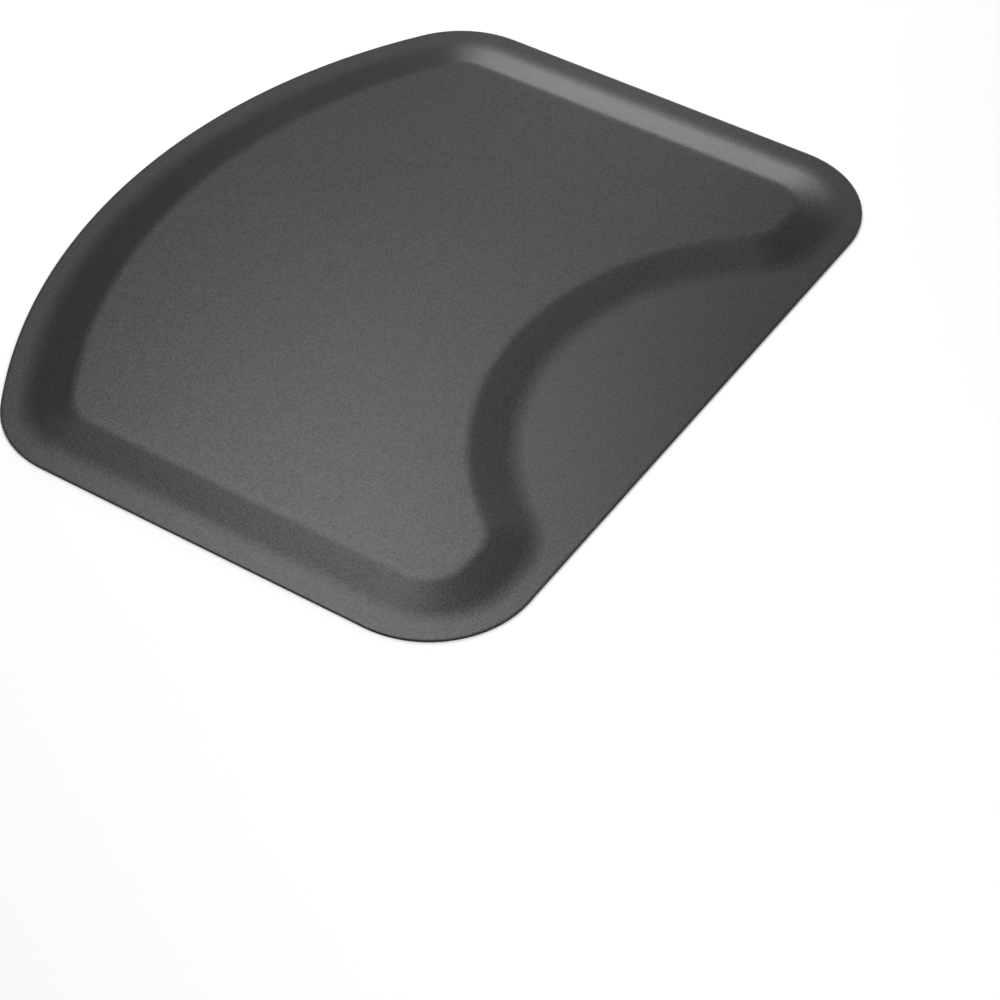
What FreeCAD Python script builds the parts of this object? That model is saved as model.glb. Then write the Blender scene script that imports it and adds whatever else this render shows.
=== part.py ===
"""Anti fatigue mat with a half-round chair recess in its straight front edge.

The mat is a laminate: a rubber base sheet, two foam layers under the raised standing area, and
one moulded skin over everything. The skin lies on the base sheet at the rim and in the recess,
and climbs a gentle ramp to the standing surface.

Frame: origin under the middle of the mat, +X along the straight front edge, +Y towards the
bowed back edge, +Z up. Millimetres.
"""

import FreeCAD
import Part
import math
import os

from FreeCAD import Vector

# Outline, seen from above
WIDTH = 1016.0
DEPTH = 846.0
CORNER_RADIUS = 133.5
BACK_RADIUS = 797.0

# Layers, from the floor up
BASE_THICKNESS = 2.0
SKIN_THICKNESS = 1.5
TOTAL_HEIGHT = 12.7
SUPPORT_FOAM_HEIGHT = 4.5

# Ramp, as distances in from the outer edge
RAMP_FOOT_INSET = 31.0
RAMP_TOP_INSET = 88.5

# Chair recess: the circle is the top edge of its ramp, and its centre is in front of the mat
RECESS_RADIUS = 390.0
RECESS_CENTRE_AHEAD = 133.0
NOSE_RADIUS = 45.0

# Derived sizes
FRONT_Y = -DEPTH / 2
BACK_Y = DEPTH / 2
RIM_HEIGHT = BASE_THICKNESS + SKIN_THICKNESS
RAMP_RUN = RAMP_TOP_INSET - RAMP_FOOT_INSET
RAMP_RISE = TOTAL_HEIGHT - RIM_HEIGHT
SUPPORT_TOP = BASE_THICKNESS + SUPPORT_FOAM_HEIGHT
FOAM_TOP = TOTAL_HEIGHT - SKIN_THICKNESS


def point_on_circle(centre, radius, angle_deg, z):
    """Point at an angle on a level circle."""
    angle = math.radians(angle_deg)
    return Vector(centre[0] + radius * math.cos(angle), centre[1] + radius * math.sin(angle), z)


def closed_wire(arcs, z):
    """Level wire through (centre, radius, start, end) arcs, joined by straight lines."""
    ends = []
    edges = []
    for centre, radius, start, end in arcs:
        angles = (start, (start + end) / 2, end)
        points = [point_on_circle(centre, radius, angle, z) for angle in angles]
        ends.append((points[0], points[2]))
        edges.append(Part.Arc(*points).toShape())
    wire_edges = []
    for index, edge in enumerate(edges):
        wire_edges.append(edge)
        leave = ends[index][1]
        arrive = ends[(index + 1) % len(ends)][0]
        if leave.distanceToPoint(arrive) > 1e-6:
            wire_edges.append(Part.LineSegment(leave, arrive).toShape())
    return Part.Wire(wire_edges)


def outer_arcs(inset):
    """The mat's outline moved inwards: two front corners, two back corners and the bowed back."""
    corner_x = WIDTH / 2 - CORNER_RADIUS
    back_centre = (0.0, BACK_Y - BACK_RADIUS)
    reach = BACK_RADIUS - CORNER_RADIUS
    corner_angle = math.degrees(math.acos(corner_x / reach))
    back_corner_y = back_centre[1] + reach * math.sin(math.radians(corner_angle))
    front_corner_y = FRONT_Y + CORNER_RADIUS
    corner_radius = CORNER_RADIUS - inset
    return [
        ((corner_x, front_corner_y), corner_radius, -90.0, 0.0),
        ((corner_x, back_corner_y), corner_radius, 0.0, corner_angle),
        (back_centre, BACK_RADIUS - inset, corner_angle, 180.0 - corner_angle),
        ((-corner_x, back_corner_y), corner_radius, 180.0 - corner_angle, 180.0),
        ((-corner_x, front_corner_y), corner_radius, 180.0, 270.0),
    ]


def raised_arcs(outset):
    """The standing area's edge moved outwards down the ramp: the outline, two noses, the recess."""
    recess_y = FRONT_Y - RECESS_CENTRE_AHEAD
    nose_y = FRONT_Y + RAMP_TOP_INSET + NOSE_RADIUS
    nose_angle = math.degrees(math.asin((nose_y - recess_y) / (RECESS_RADIUS + NOSE_RADIUS)))
    nose_x = (RECESS_RADIUS + NOSE_RADIUS) * math.cos(math.radians(nose_angle))
    nose_radius = NOSE_RADIUS + outset
    return outer_arcs(RAMP_TOP_INSET - outset) + [
        ((-nose_x, nose_y), nose_radius, 270.0, 360.0 - nose_angle),
        ((0.0, recess_y), RECESS_RADIUS - outset, 180.0 - nose_angle, nose_angle),
        ((nose_x, nose_y), nose_radius, 180.0 + nose_angle, 270.0),
    ]


def flat_sheet(z_low, z_high):
    """Sheet with the mat's whole outline."""
    return Part.Face(closed_wire(outer_arcs(0.0), z_low)).extrude(Vector(0, 0, z_high - z_low))


def raised_block(z_low, z_high, ramp_foot_z):
    """Slice of the raised area, with ramped sides that meet the level ramp_foot_z at the foot."""
    wires = []
    for z in (z_low, z_high):
        outset = RAMP_RUN * (1.0 - (z - ramp_foot_z) / RAMP_RISE)
        wires.append(closed_wire(raised_arcs(outset), z))
    return Part.makeLoft(wires, True, True)


def make_base_sheet():
    """Rubber backing under the whole mat."""
    return flat_sheet(0.0, BASE_THICKNESS)


def make_support_foam():
    """Firm lower foam layer of the standing area."""
    return raised_block(BASE_THICKNESS, SUPPORT_TOP, BASE_THICKNESS)


def make_comfort_foam():
    """Soft upper foam layer of the standing area."""
    return raised_block(SUPPORT_TOP, FOAM_TOP, BASE_THICKNESS)


def make_cover_skin():
    """Moulded top skin: rim and recess floor, ramps and standing surface, hollow for the foam."""
    skin = flat_sheet(BASE_THICKNESS, RIM_HEIGHT)
    skin = skin.fuse(raised_block(RIM_HEIGHT, TOTAL_HEIGHT, RIM_HEIGHT))
    return skin.cut(raised_block(BASE_THICKNESS, FOAM_TOP, BASE_THICKNESS))


PARTS = {
    "base_sheet": make_base_sheet,
    "support_foam": make_support_foam,
    "comfort_foam": make_comfort_foam,
    "cover_skin": make_cover_skin,
}

os.makedirs("parts", exist_ok=True)
for name, make in PARTS.items():
    shape = make()
    box = shape.BoundBox
    print(
        name,
        "valid" if shape.isValid() else "INVALID",
        "solids", len(shape.Solids),
        "volume_cm3", round(shape.Volume / 1000, 1),
        "z", round(box.ZMin, 3), round(box.ZMax, 3),
    )
    shape.exportStep(f"parts/{name}.step")
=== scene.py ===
"""Looks of a cushioned standing mat: moulded skin, foam core and rubber backing on a studio floor."""

import logging
import math
from dataclasses import dataclass, field
from enum import Enum

import bmesh
import bpy
from mathutils import Matrix, Quaternion, Vector


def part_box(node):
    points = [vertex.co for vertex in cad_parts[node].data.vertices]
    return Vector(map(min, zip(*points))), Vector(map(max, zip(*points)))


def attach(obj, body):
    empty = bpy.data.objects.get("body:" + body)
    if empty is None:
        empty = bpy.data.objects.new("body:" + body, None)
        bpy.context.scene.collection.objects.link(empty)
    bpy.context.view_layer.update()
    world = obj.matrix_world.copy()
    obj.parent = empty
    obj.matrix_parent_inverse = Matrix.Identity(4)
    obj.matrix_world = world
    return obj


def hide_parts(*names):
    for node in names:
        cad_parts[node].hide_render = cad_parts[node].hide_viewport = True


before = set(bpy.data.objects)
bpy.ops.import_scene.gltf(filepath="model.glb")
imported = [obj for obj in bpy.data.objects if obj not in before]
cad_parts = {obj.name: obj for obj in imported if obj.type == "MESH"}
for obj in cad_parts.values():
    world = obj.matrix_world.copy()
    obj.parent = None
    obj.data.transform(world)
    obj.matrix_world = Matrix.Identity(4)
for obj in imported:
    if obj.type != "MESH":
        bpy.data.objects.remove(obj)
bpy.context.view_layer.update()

logging.basicConfig(level=logging.INFO, format="%(message)s")
log = logging.getLogger("mat")

ROOT_BODY = "root"
UP = Vector((0.0, 0.0, 1.0))
LEVEL_TOLERANCE = 1e-6
JOIN_DISTANCE = 5e-5
FEWEST_ARC_STEPS = 6
HALVINGS = 30
SHARP_ANGLE = math.radians(35)
CORNER_ANGLE = math.radians(60)
Colour = tuple[float, float, float]
Socket = bpy.types.NodeSocket


# ------------------------------------------------------------------ plan and section


@dataclass(frozen=True)
class Arc:
    """A level arc: its centre, its radius and the angles at which it starts and ends."""

    centre: Vector
    radius: float
    start: float
    end: float

    def first_point(self) -> Vector:
        """Return the arc's first point, at height zero."""
        reach = Vector((math.cos(self.start), math.sin(self.start), 0.0)) * self.radius
        return self.centre + reach


@dataclass(frozen=True)
class MatPlan:
    """The mat seen from above: its outer edge and the edge of its raised standing area.

    Neighbouring border lines stay one distance apart all the way round, so each line is the
    same row of arcs with other radii.
    """

    width: float
    depth: float
    corner_radius: float = 0.1335
    back_radius: float = 0.797
    ramp_top_inset: float = 0.0885
    recess_radius: float = 0.390
    recess_centre_ahead: float = 0.133
    nose_radius: float = 0.045
    segment_length: float = 0.006

    @property
    def front(self) -> float:
        """Return the Y of the straight front edge."""
        return -self.depth / 2

    def outer_arcs(self, inset: float) -> list[Arc]:
        """Give the arcs of the outer edge moved inwards.

        Args:
            inset: Distance in from the outer edge.

        Returns:
            Front right corner, back right corner, bowed back, back left and front left corners.
        """
        corner_x = self.width / 2 - self.corner_radius
        reach = self.back_radius - self.corner_radius
        turn = math.acos(corner_x / reach)
        bow = Vector((0.0, self.depth / 2 - self.back_radius, 0.0))
        front_y = self.front + self.corner_radius
        back_y = bow.y + reach * math.sin(turn)
        radius = self.corner_radius - inset
        return [
            Arc(Vector((corner_x, front_y, 0.0)), radius, -math.pi / 2, 0.0),
            Arc(Vector((corner_x, back_y, 0.0)), radius, 0.0, turn),
            Arc(bow, self.back_radius - inset, turn, math.pi - turn),
            Arc(Vector((-corner_x, back_y, 0.0)), radius, math.pi - turn, math.pi),
            Arc(Vector((-corner_x, front_y, 0.0)), radius, math.pi, 1.5 * math.pi),
        ]

    def raised_arcs(self, inset: float) -> list[Arc]:
        """Give the arcs of a line on the border of the raised area.

        Args:
            inset: Distance in from the outer edge, or as far from it as such a line would be.

        Returns:
            The outer arcs, then the left nose, the hollow recess arc and the right nose.
        """
        outset = self.ramp_top_inset - inset
        recess = Vector((0.0, self.front - self.recess_centre_ahead, 0.0))
        nose_y = self.front + self.ramp_top_inset + self.nose_radius
        reach = self.recess_radius + self.nose_radius
        turn = math.asin((nose_y - recess.y) / reach)
        nose_x = reach * math.cos(turn)
        radius = self.nose_radius + outset
        left = Vector((-nose_x, nose_y, 0.0))
        right = Vector((nose_x, nose_y, 0.0))
        return self.outer_arcs(inset) + [
            Arc(left, radius, 1.5 * math.pi, 2 * math.pi - turn),
            Arc(recess, self.recess_radius - outset, math.pi - turn, turn),
            Arc(right, radius, math.pi + turn, 1.5 * math.pi),
        ]

    def holds(self, point: Vector, inset: float) -> bool:
        """Return whether a point is inside the outer edge moved inwards by inset."""
        corner = self.outer_arcs(inset)[1]
        bow = self.outer_arcs(inset)[2]
        x = abs(point.x)
        if x > self.width / 2 - inset or point.y < self.front + inset:
            return False
        front_corner_y = self.front + self.corner_radius
        if x > corner.centre.x and point.y < front_corner_y:
            return math.hypot(x - corner.centre.x, point.y - front_corner_y) < corner.radius
        if x > corner.centre.x and point.y > corner.centre.y:
            return math.hypot(x - corner.centre.x, point.y - corner.centre.y) < corner.radius
        return math.hypot(x, point.y - bow.centre.y) < bow.radius

    def face(self, bm: bmesh.types.BMesh, arcs: list[Arc], z: float) -> bmesh.types.BMFace:
        """Draw a closed line of arcs and straight edges, and fill it.

        Args:
            bm: Mesh to draw in.
            arcs: The arcs, in order round the line.
            z: Height of the line.

        Returns:
            One face, which looks up.
        """
        lift = UP * z
        chains = []
        for arc in arcs:
            first = bm.verts.new(arc.first_point() + lift)
            turn = arc.end - arc.start
            steps = math.ceil(abs(turn) * arc.radius / self.segment_length)
            steps = max(FEWEST_ARC_STEPS, steps)
            bmesh.ops.spin(
                bm, geom=[first], cent=arc.centre + lift, axis=UP, angle=turn, steps=steps
            )
            chains.append([first] + self.walk(first))
        following = chains[1:] + chains[:1]
        welds = {}
        for chain, after in zip(chains, following):
            if (chain[-1].co - after[0].co).length > JOIN_DISTANCE:
                bm.edges.new((chain[-1], after[0]))
            else:
                welds[chain[-1]] = after[0]
        line = [v for chain in chains for v in chain if v not in welds]
        bmesh.ops.weld_verts(bm, targetmap=welds)
        made = bm.faces.new(line)
        made.normal_update()
        if made.normal.z < 0:
            made.normal_flip()
        return made

    @staticmethod
    def walk(first: bmesh.types.BMVert) -> list[bmesh.types.BMVert]:
        """Return the vertices of the open chain that starts at first, without it."""
        found = []
        before, here = None, first
        while True:
            ahead = [e.other_vert(here) for e in here.link_edges]
            ahead = [v for v in ahead if v != before]
            if not ahead:
                return found
            before, here = here, ahead[0]
            found.append(here)


@dataclass(frozen=True)
class RampSection:
    """Cross-section of the border: rim, hollow ease, straight ramp, rounded ease, flat top."""

    rim_height: float
    total_height: float
    ease_start: float = 0.017
    ramp_start: float = 0.045
    ramp_end: float = 0.080
    flat_start: float = 0.094
    ease_steps: int = 10
    ramp_steps: int = 2

    @property
    def slope(self) -> float:
        """Return the rise per length of the straight ramp; each ease is a parabola."""
        eases = (self.ramp_start - self.ease_start + self.flat_start - self.ramp_end) / 2
        run = self.ramp_end - self.ramp_start + eases
        return (self.total_height - self.rim_height) / run

    def height(self, inset: float) -> float:
        """Return the height of the surface at a distance in from the outer edge."""
        hollow = self.ramp_start - self.ease_start
        crest = self.flat_start - self.ramp_end
        if inset <= self.ease_start:
            return self.rim_height
        if inset <= self.ramp_start:
            return self.rim_height + self.slope * (inset - self.ease_start) ** 2 / (2 * hollow)
        if inset <= self.ramp_end:
            return self.rim_height + self.slope * (hollow / 2 + inset - self.ramp_start)
        if inset <= self.flat_start:
            return self.total_height - self.slope * (self.flat_start - inset) ** 2 / (2 * crest)
        return self.total_height

    def inset_at(self, height: float) -> float:
        """Return how far in from the outer edge the surface reaches a height."""
        low, high = self.ease_start, self.flat_start
        for _ in range(HALVINGS):
            middle = (low + high) / 2
            if self.height(middle) < height:
                low = middle
            else:
                high = middle
        return (low + high) / 2

    def rings(self) -> list[float]:
        """Return the insets of the lines that the border is made with, from low to high."""
        spans = (
            (self.ease_start, self.ramp_start, self.ease_steps),
            (self.ramp_start, self.ramp_end, self.ramp_steps),
            (self.ramp_end, self.flat_start, self.ease_steps),
        )
        made = [self.ease_start]
        for low, high, steps in spans:
            made += [low + (high - low) * step / steps for step in range(1, steps + 1)]
        return made


# ------------------------------------------------------------------ finishes


class Cells(Enum):
    """Kinds of cell pattern."""

    NEAREST = "F1"
    SMOOTH = "SMOOTH_F1"
    WALLS = "DISTANCE_TO_EDGE"


class Painter:
    """Builds one node material round a Principled shader."""

    def __init__(self, name: str) -> None:
        """Make the material, its shader and its output."""
        self.material = bpy.data.materials.new(name)
        self.material.use_nodes = True
        self.nodes = self.material.node_tree.nodes
        self.links = self.material.node_tree.links
        self.nodes.clear()
        self.shader = self.nodes.new("ShaderNodeBsdfPrincipled")
        output = self.nodes.new("ShaderNodeOutputMaterial")
        self.links.new(self.shader.outputs["BSDF"], output.inputs["Surface"])
        self.place = self.nodes.new("ShaderNodeTexCoord").outputs["Object"]

    def noise(self, scale: float, detail: float, roughness: float = 0.5) -> Socket:
        """Add a noise pattern.

        Args:
            scale: Repeats per metre.
            detail: Octaves of finer noise.
            roughness: Weight of the finer octaves.

        Returns:
            Its value, about 0 to 1.
        """
        node = self.nodes.new("ShaderNodeTexNoise")
        node.inputs["Scale"].default_value = scale
        node.inputs["Detail"].default_value = detail
        node.inputs["Roughness"].default_value = roughness
        self.links.new(self.place, node.inputs["Vector"])
        return node.outputs["Fac"]

    def cells(self, scale: float, kind: Cells) -> Socket:
        """Add a cell pattern with scale cells per metre and return its distance."""
        node = self.nodes.new("ShaderNodeTexVoronoi")
        node.feature = kind.value
        node.inputs["Scale"].default_value = scale
        self.links.new(self.place, node.inputs["Vector"])
        return node.outputs["Distance"]

    def remap(self, value: Socket, source: tuple[float, float], target: tuple[float, float]) -> Socket:
        """Return value moved from the source range to the target range and held inside it."""
        node = self.nodes.new("ShaderNodeMapRange")
        for index, number in enumerate((*source, *target), start=1):
            node.inputs[index].default_value = number
        self.links.new(value, node.inputs[0])
        return node.outputs[0]

    def combine(self, operation: str, first: Socket, second: Socket | float) -> Socket:
        """Return the result of a math operation on a value and a value or number."""
        node = self.nodes.new("ShaderNodeMath")
        node.operation = operation
        self.links.new(first, node.inputs[0])
        if isinstance(second, (int, float)):
            node.inputs[1].default_value = second
        else:
            self.links.new(second, node.inputs[1])
        return node.outputs[0]

    def mixed(self, *parts: tuple[Socket, float]) -> Socket:
        """Return the sum of some values, each times its weight."""
        total = None
        for value, weight in parts:
            term = self.combine("MULTIPLY", value, weight)
            total = term if total is None else self.combine("ADD", total, term)
        return total

    def shades(self, value: Socket, dark: Colour, light: Colour, span: tuple[float, float]) -> Socket:
        """Return a colour that goes from dark to light as value crosses a span."""
        node = self.nodes.new("ShaderNodeValToRGB")
        for element, colour, place in zip(node.color_ramp.elements, (dark, light), span):
            element.position = place
            element.color = (*colour, 1.0)
        self.links.new(value, node.inputs["Fac"])
        return node.outputs["Color"]

    def bump(self, height: Socket, depth: float, strength: float) -> Socket:
        """Return a normal that follows a height pattern of a depth in metres."""
        node = self.nodes.new("ShaderNodeBump")
        node.inputs["Distance"].default_value = depth
        node.inputs["Strength"].default_value = strength
        self.links.new(height, node.inputs["Height"])
        return node.outputs["Normal"]

    def feed(self, name: str, value: Socket | float) -> None:
        """Set or link one input of the shader."""
        if isinstance(value, (int, float)):
            self.shader.inputs[name].default_value = value
        else:
            self.links.new(value, self.shader.inputs[name])


@dataclass(frozen=True)
class LeatherGrainSkin:
    """Dark grey moulded polyurethane with a fine leather grain."""

    name: str = "moulded_leather_grain"
    dark: Colour = (0.0110, 0.0110, 0.0112)
    light: Colour = (0.0166, 0.0166, 0.0169)
    pebbles_per_metre: float = 400.0
    creases_per_metre: float = 190.0
    pores_per_metre: float = 520.0
    clouds_per_metre: float = 9.0
    grain_depth: float = 0.00006
    grain_strength: float = 1.0
    roughness: tuple[float, float] = (0.30, 0.36)
    sheen: tuple[float, float] = (0.275, 0.425)

    def build(self) -> bpy.types.Material:
        """Return the material."""
        paint = Painter(self.name)
        pebbles = paint.remap(paint.cells(self.pebbles_per_metre, Cells.SMOOTH), (0.0, 0.75), (1.0, 0.0))
        creases = paint.remap(paint.cells(self.creases_per_metre, Cells.WALLS), (0.0, 0.12), (0.55, 1.0))
        pores = paint.noise(self.pores_per_metre, 2.0)
        clouds = paint.noise(self.clouds_per_metre, 3.0)
        height = paint.mixed((paint.combine("MULTIPLY", pebbles, creases), 1.0), (pores, 0.35))
        paint.feed("Normal", paint.bump(height, self.grain_depth, self.grain_strength))
        grain = paint.mixed((pebbles, 0.5), (pores, 0.5))
        shade = paint.mixed((grain, 0.8), (clouds, 0.2))
        paint.feed("Base Color", paint.shades(shade, self.dark, self.light, (0.15, 0.85)))
        gloss = paint.mixed((pores, 0.85), (clouds, 0.15))
        paint.feed("Roughness", paint.remap(gloss, (0.3, 0.7), self.roughness))
        paint.feed("Specular IOR Level", paint.remap(grain, (0.3, 0.7), self.sheen))
        return paint.material


@dataclass(frozen=True)
class BackingRubber:
    """Matt black rubber with a faint cast texture and a little dust."""

    name: str = "matt_backing_rubber"
    dark: Colour = (0.008, 0.008, 0.008)
    light: Colour = (0.016, 0.016, 0.016)
    specks_per_metre: float = 700.0
    dust_per_metre: float = 14.0
    roughness: tuple[float, float] = (0.68, 0.86)

    def build(self) -> bpy.types.Material:
        """Return the material."""
        paint = Painter(self.name)
        specks = paint.noise(self.specks_per_metre, 4.0, 0.6)
        dust = paint.noise(self.dust_per_metre, 5.0, 0.6)
        paint.feed("Base Color", paint.shades(dust, self.dark, self.light, (0.35, 0.7)))
        paint.feed("Roughness", paint.remap(specks, (0.3, 0.7), self.roughness))
        paint.feed("Normal", paint.bump(specks, 0.00012, 0.6))
        paint.feed("Specular IOR Level", 0.35)
        return paint.material


@dataclass(frozen=True)
class CellFoam:
    """Cut foam with open cells."""

    name: str
    dark: Colour
    light: Colour
    cells_per_metre: float
    cell_depth: float = 0.0005

    def build(self) -> bpy.types.Material:
        """Return the material."""
        paint = Painter(self.name)
        cells = paint.cells(self.cells_per_metre, Cells.NEAREST)
        fine = paint.noise(self.cells_per_metre * 3, 3.0)
        paint.feed("Base Color", paint.shades(cells, self.dark, self.light, (0.1, 0.6)))
        paint.feed("Roughness", paint.remap(fine, (0.3, 0.7), (0.86, 0.97)))
        paint.feed("Normal", paint.bump(paint.mixed((cells, 1.0), (fine, 0.4)), self.cell_depth, 0.8))
        paint.feed("Specular IOR Level", 0.2)
        return paint.material


@dataclass(frozen=True)
class StudioFloor:
    """Plain white studio floor."""

    name: str = "studio_floor_white"
    colour: Colour = (0.90, 0.90, 0.90)

    def build(self) -> bpy.types.Material:
        """Return the material."""
        paint = Painter(self.name)
        paint.shader.inputs["Base Color"].default_value = (*self.colour, 1.0)
        paint.feed("Roughness", 0.9)
        paint.feed("Specular IOR Level", 0.0)
        return paint.material


# ------------------------------------------------------------------ pieces


@dataclass(frozen=True)
class PieceTag:
    """What a finished piece is called and what it stands for."""

    name: str
    node: str
    slot: str


def finish_piece(bm: bmesh.types.BMesh, tag: PieceTag, material: bpy.types.Material) -> bpy.types.Object:
    """Turn a bmesh into a finished piece that rides on the mat.

    Args:
        bm: The shape, which is freed.
        tag: The piece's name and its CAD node.
        material: The piece's finish.

    Returns:
        The piece's object.
    """
    bmesh.ops.recalc_face_normals(bm, faces=bm.faces[:])
    for face in bm.faces:
        face.smooth = True
    for edge in bm.edges:
        edge.smooth = len(edge.link_faces) == 2 and edge.calc_face_angle() < SHARP_ANGLE
    mesh = bpy.data.meshes.new(tag.name)
    bm.to_mesh(mesh)
    bm.free()
    mesh.materials.append(material)
    piece = bpy.data.objects.new(tag.name, mesh)
    bpy.context.scene.collection.objects.link(piece)
    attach(piece, ROOT_BODY)
    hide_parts(tag.node)
    log.info("%s: %d faces", tag.name, len(mesh.polygons))
    return piece


def round_edges(
    bm: bmesh.types.BMesh,
    edges: list[bmesh.types.BMEdge],
    radius: float,
    segments: int,
) -> None:
    """Round some edges of a shape.

    Args:
        bm: The shape.
        edges: The edges to round.
        radius: How far in from each edge the rounding starts.
        segments: Flat strips that make up the rounding.
    """
    bmesh.ops.bevel(
        bm,
        geom=edges,
        offset=radius,
        segments=segments,
        profile=0.5,
        material=-1,
        affect="EDGES",
    )


def corner_edges(bm: bmesh.types.BMesh, z: float) -> list[bmesh.types.BMEdge]:
    """Return the sharp edges that lie at a height."""
    level = [e for e in bm.edges if all(abs(v.co.z - z) < LEVEL_TOLERANCE for v in e.verts)]
    return [e for e in level if len(e.link_faces) == 2 and e.calc_face_angle() > CORNER_ANGLE]


@dataclass
class TopSkin:
    """The moulded skin: rim, recess floor, ramps and standing surface in one thin shell."""

    plan: MatPlan
    section: RampSection
    underside: float
    finish: LeatherGrainSkin = field(default_factory=LeatherGrainSkin)
    edge_band: float = 0.004
    edge_radius: float = 0.0008

    def build(self) -> bpy.types.Object:
        """Make the skin as a piece."""
        bm = bmesh.new()
        rim_line = self.add_rim(bm)
        rim_edges = set(bm.edges)
        self.add_ramps(bm)
        foot_line = [edge for edge in bm.edges if edge.is_boundary and edge not in rim_edges]
        bmesh.ops.triangle_fill(bm, edges=rim_line + foot_line, use_beauty=True, use_dissolve=False)
        self.thicken(bm)
        tag = PieceTag("moulded_cover_skin", "cover_skin", "skin")
        return finish_piece(bm, tag, self.finish.build())

    def add_rim(self, bm: bmesh.types.BMesh) -> list[bmesh.types.BMEdge]:
        """Add the narrow band along the outer edge and return its inner line."""
        sheet = self.plan.face(bm, self.plan.outer_arcs(0.0), self.section.rim_height)
        bmesh.ops.inset_region(
            bm,
            faces=[sheet],
            thickness=self.edge_band,
            use_even_offset=True,
            use_boundary=True,
        )
        line = list(sheet.edges)
        bmesh.ops.delete(bm, geom=[sheet], context="FACES_ONLY")
        return line

    def add_ramps(self, bm: bmesh.types.BMesh) -> None:
        """Raise a face ring by ring along the ramp section, up to the standing surface."""
        foot = self.plan.raised_arcs(self.section.ease_start)
        cap = self.plan.face(bm, foot, self.section.rim_height)
        rings = self.section.rings()
        for low, high in zip(rings, rings[1:]):
            bmesh.ops.inset_region(
                bm,
                faces=[cap],
                thickness=high - low,
                depth=self.section.height(high) - self.section.height(low),
                use_even_offset=True,
                use_boundary=True,
            )

    def thicken(self, bm: bmesh.types.BMesh) -> None:
        """Give the sheet its wall and round the outer edge of the rim."""
        bmesh.ops.recalc_face_normals(bm, faces=bm.faces[:])
        largest = max(bm.faces, key=lambda face: face.calc_area())
        if largest.normal.z < 0:
            bmesh.ops.reverse_faces(bm, faces=bm.faces[:])
        thickness = self.section.rim_height - self.underside
        bmesh.ops.solidify(bm, geom=bm.faces[:], thickness=thickness)
        round_edges(bm, corner_edges(bm, self.section.rim_height), self.edge_radius, 4)


@dataclass
class FoamLayer:
    """One slab of the core, which fills the space under the skin between two heights."""

    plan: MatPlan
    section: RampSection
    tag: PieceTag
    finish: CellFoam
    gap: float = 0.00005
    steps: int = 10

    def build(self) -> bpy.types.Object:
        """Make the slab as a piece."""
        low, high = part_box(self.tag.node)
        bottom, top = low.z + self.gap, high.z - self.gap
        first = self.section.inset_at(bottom)
        last = self.section.inset_at(top)
        bm = bmesh.new()
        cap = self.plan.face(bm, self.plan.raised_arcs(first), bottom)
        for step in range(self.steps):
            here = first + (last - first) * step / self.steps
            there = first + (last - first) * (step + 1) / self.steps
            bmesh.ops.inset_region(
                bm,
                faces=[cap],
                thickness=there - here,
                depth=self.section.height(there) - self.section.height(here),
                use_even_offset=True,
                use_boundary=True,
            )
        bmesh.ops.contextual_create(bm, geom=[edge for edge in bm.edges if edge.is_boundary])
        return finish_piece(bm, self.tag, self.finish.build())


@dataclass
class BackingSheet:
    """Rubber sheet under the whole mat, with shallow grip pockets moulded in its underside."""

    plan: MatPlan
    finish: BackingRubber = field(default_factory=BackingRubber)
    edge_setback: float = 0.0003
    edge_radius: float = 0.0004
    plain_band: float = 0.016
    pocket_pitch: float = 0.014
    pocket_wall: float = 0.0022
    pocket_depth: float = 0.0009

    def build(self) -> bpy.types.Object:
        """Make the sheet as a piece."""
        low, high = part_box("base_sheet")
        bm = bmesh.new()
        self.add_underside(bm, low.z)
        top = self.plan.face(bm, self.plan.outer_arcs(self.edge_setback), high.z)
        lower_line = self.lower_line(bm, low.z)
        bmesh.ops.bridge_loops(bm, edges=lower_line + list(top.edges))
        round_edges(bm, corner_edges(bm, high.z), self.edge_radius, 3)
        tag = PieceTag("rubber_base_sheet", "base_sheet", "backing")
        return finish_piece(bm, tag, self.finish.build())

    def add_underside(self, bm: bmesh.types.BMesh, z: float) -> None:
        """Add the underside: a diamond grid of pockets inside a plain band."""
        half = Vector((self.plan.width, self.plan.depth)).length / 2
        count = math.ceil(2 * half / self.pocket_pitch)
        bmesh.ops.create_grid(
            bm,
            x_segments=count,
            y_segments=count,
            size=count * self.pocket_pitch / 2,
            matrix=Matrix.Translation(UP * z) @ Matrix.Rotation(math.pi / 4, 4, "Z"),
        )
        outside = [
            face
            for face in bm.faces
            if not all(self.plan.holds(v.co, self.plain_band) for v in face.verts)
        ]
        bmesh.ops.delete(bm, geom=outside, context="FACES")
        pockets = bm.faces[:]
        grid_line = [edge for edge in bm.edges if edge.is_boundary]
        outline = self.plan.face(bm, self.plan.outer_arcs(self.edge_setback), z)
        outer_line = list(outline.edges)
        bmesh.ops.delete(bm, geom=[outline], context="FACES_ONLY")
        bmesh.ops.triangle_fill(bm, edges=grid_line + outer_line, use_beauty=True, use_dissolve=False)
        self.sink_pockets(bm, pockets)

    def sink_pockets(self, bm: bmesh.types.BMesh, pockets: list[bmesh.types.BMFace]) -> None:
        """Press each pocket up into the sheet, with a wall of rubber between neighbours."""
        upward = 1.0 if pockets[0].normal.z > 0 else -1.0
        bmesh.ops.inset_individual(
            bm, faces=pockets, thickness=self.pocket_wall / 2, use_even_offset=True
        )
        bmesh.ops.inset_individual(
            bm,
            faces=pockets,
            thickness=self.pocket_depth / 2,
            depth=upward * self.pocket_depth,
            use_even_offset=True,
        )

    @staticmethod
    def lower_line(bm: bmesh.types.BMesh, z: float) -> list[bmesh.types.BMEdge]:
        """Return the outer line of the underside."""
        return [e for e in bm.edges if e.is_boundary and abs(e.verts[0].co.z - z) < LEVEL_TOLERANCE]


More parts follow.
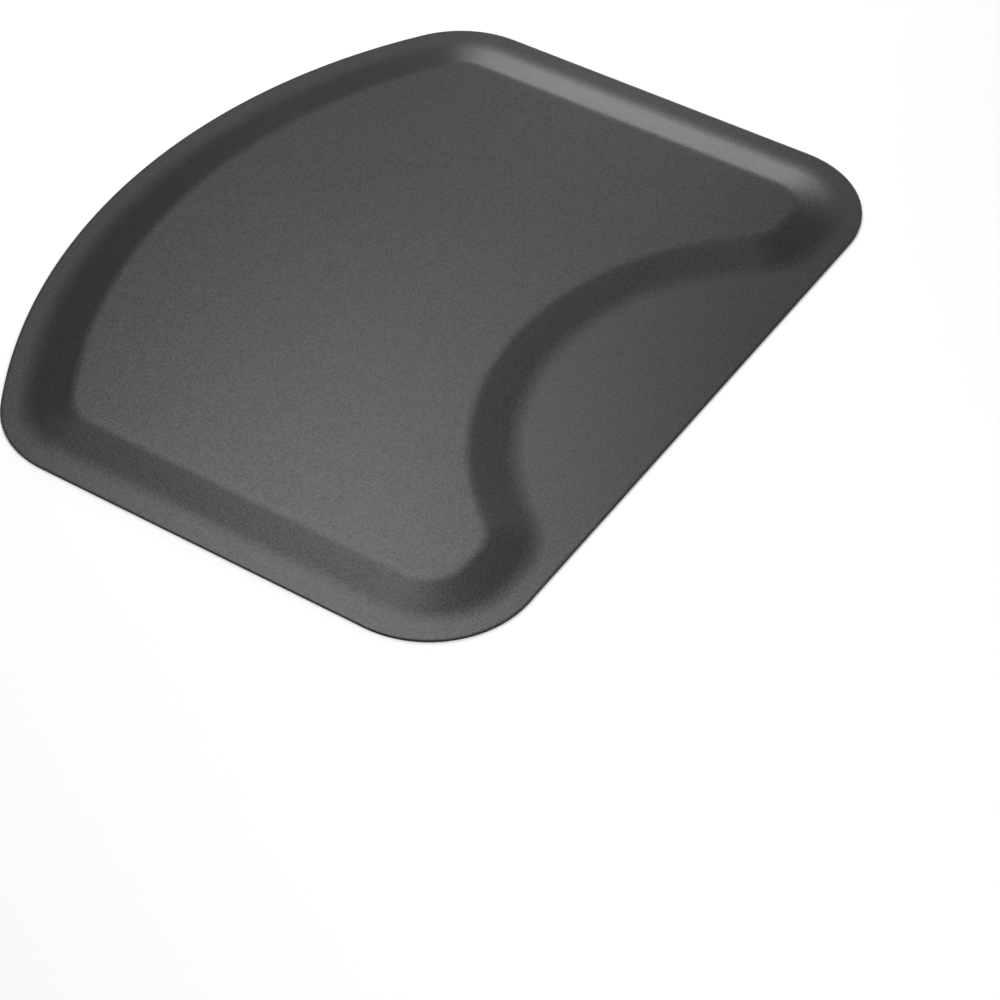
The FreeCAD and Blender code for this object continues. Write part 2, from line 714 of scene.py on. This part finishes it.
# ------------------------------------------------------------------ studio


@dataclass(frozen=True)
class SoftPanel:
    """A soft rectangular lamp that faces the mat.

    Azimuth turns from +X towards +Y, and roll turns the lamp about the line to the mat, in degrees.
    The fills stand high, so that low views don't mirror them in the skin.
    """

    name: str
    azimuth: float
    elevation: float
    width: float
    height: float
    radiance: float
    roll: float = 0.0
    distance: float = 3.0

    def build(self) -> None:
        """Add the lamp."""
        turn, lift = math.radians(self.azimuth), math.radians(self.elevation)
        back = Vector((math.cos(turn) * math.cos(lift), math.sin(turn) * math.cos(lift), math.sin(lift)))
        lamp = bpy.data.lights.new(self.name, "AREA")
        lamp.shape = "RECTANGLE"
        lamp.size = self.width
        lamp.size_y = self.height
        lamp.energy = self.radiance * math.pi * self.width * self.height
        holder = bpy.data.objects.new(self.name, lamp)
        holder.location = back * self.distance
        holder.rotation_mode = "QUATERNION"
        holder.rotation_quaternion = back.to_track_quat("Z", "Y") @ Quaternion(UP, math.radians(self.roll))
        holder.visible_camera = False
        bpy.context.scene.collection.objects.link(holder)


@dataclass
class Studio:
    """White floor, soft lamps and the camera."""

    floor_size: float = 60.0
    world_strength: float = 0.18
    camera_azimuth: float = -56.674
    camera_elevation: float = 44.592
    camera_distance: float = 3.3816
    camera_aim: tuple[float, float] = (-0.2554, -0.3049)
    camera_lens: float = 104.92
    panels: tuple[SoftPanel, ...] = (
        SoftPanel("low_side_panel", 10.3, 10.3, 1.94, 0.45, 4.2, 8.9),
        SoftPanel("low_side_top", 16.0, 17.0, 1.6, 0.4, 4.9),
        SoftPanel("overhead_panel", 46.7, 58.8, 1.05, 1.16, 6.9, 13.5),
        SoftPanel("overhead_side", 25.0, 58.0, 0.8, 0.8, 0.9),
        SoftPanel("overhead_apron", 39.2, 42.1, 1.56, 1.68, 1.0, -24.5),
        SoftPanel("overhead_front", 27.5, 48.0, 0.6, 0.45, 2.2),
        SoftPanel("overhead_top", 58.0, 72.0, 0.6, 0.45, 5.0),
        SoftPanel("back_fill", 120.0, 60.0, 1.2, 1.0, 4.6),
        SoftPanel("camera_fill", 230.0, 50.0, 1.8, 1.4, 4.6),
        SoftPanel("front_fill", 270.0, 50.0, 1.8, 1.4, 1.6),
    )

    def build(self) -> None:
        """Add the floor, the light and the camera."""
        self.add_floor()
        self.add_light()
        self.add_camera()

    def add_floor(self) -> None:
        """Add a wide level floor under the mat."""
        bm = bmesh.new()
        bmesh.ops.create_grid(bm, x_segments=4, y_segments=4, size=self.floor_size / 2)
        mesh = bpy.data.meshes.new("studio_floor")
        bm.to_mesh(mesh)
        bm.free()
        mesh.materials.append(StudioFloor().build())
        floor = bpy.data.objects.new("studio_floor", mesh)
        bpy.context.scene.collection.objects.link(floor)

    def add_light(self) -> None:
        """Add the even surround and the lamps."""
        world = bpy.data.worlds.new("studio_surround")
        world.use_nodes = True
        surround = world.node_tree.nodes["Background"]
        surround.inputs["Color"].default_value = (1.0, 1.0, 1.0, 1.0)
        surround.inputs["Strength"].default_value = self.world_strength
        bpy.context.scene.world = world
        bpy.context.scene.view_settings.view_transform = "Standard"
        for panel in self.panels:
            panel.build()

    def add_camera(self) -> None:
        """Add the camera, which looks at a point on the floor."""
        turn, lift = math.radians(self.camera_azimuth), math.radians(self.camera_elevation)
        back = Vector((math.sin(turn) * math.cos(lift), -math.cos(turn) * math.cos(lift), math.sin(lift)))
        data = bpy.data.cameras.new("studio_camera")
        data.sensor_width = 36.0
        data.lens = self.camera_lens
        data.clip_end = 100.0
        camera = bpy.data.objects.new("studio_camera", data)
        camera.location = Vector((*self.camera_aim, 0.0)) + back * self.camera_distance
        camera.rotation_mode = "QUATERNION"
        camera.rotation_quaternion = (-back).to_track_quat("-Z", "Y")
        bpy.context.scene.collection.objects.link(camera)
        bpy.context.scene.camera = camera


# ------------------------------------------------------------------ assembly


def main() -> None:
    """Build the studio and every piece of the mat in order."""
    Studio().build()
    base_low, base_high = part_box("base_sheet")
    skin_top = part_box("cover_skin")[1].z
    foam_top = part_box("comfort_foam")[1].z
    underside = base_high.z
    rim = underside + skin_top - foam_top
    plan = MatPlan(width=base_high.x - base_low.x, depth=-2 * base_low.y)
    outside = RampSection(rim_height=rim, total_height=skin_top)
    inside = RampSection(rim_height=underside, total_height=foam_top)
    soft = CellFoam(
        name="soft_grey_foam",
        dark=(0.10, 0.10, 0.105),
        light=(0.22, 0.22, 0.225),
        cells_per_metre=900.0,
    )
    firm = CellFoam(
        name="firm_charcoal_foam",
        dark=(0.03, 0.03, 0.032),
        light=(0.08, 0.08, 0.084),
        cells_per_metre=1300.0,
    )
    BackingSheet(plan).build()
    FoamLayer(plan, inside, PieceTag("support_foam_slab", "support_foam", "firm_foam"), firm).build()
    FoamLayer(plan, inside, PieceTag("comfort_foam_slab", "comfort_foam", "soft_foam"), soft).build()
    TopSkin(plan, outside, underside).build()


if __name__ == "__main__":
    main()
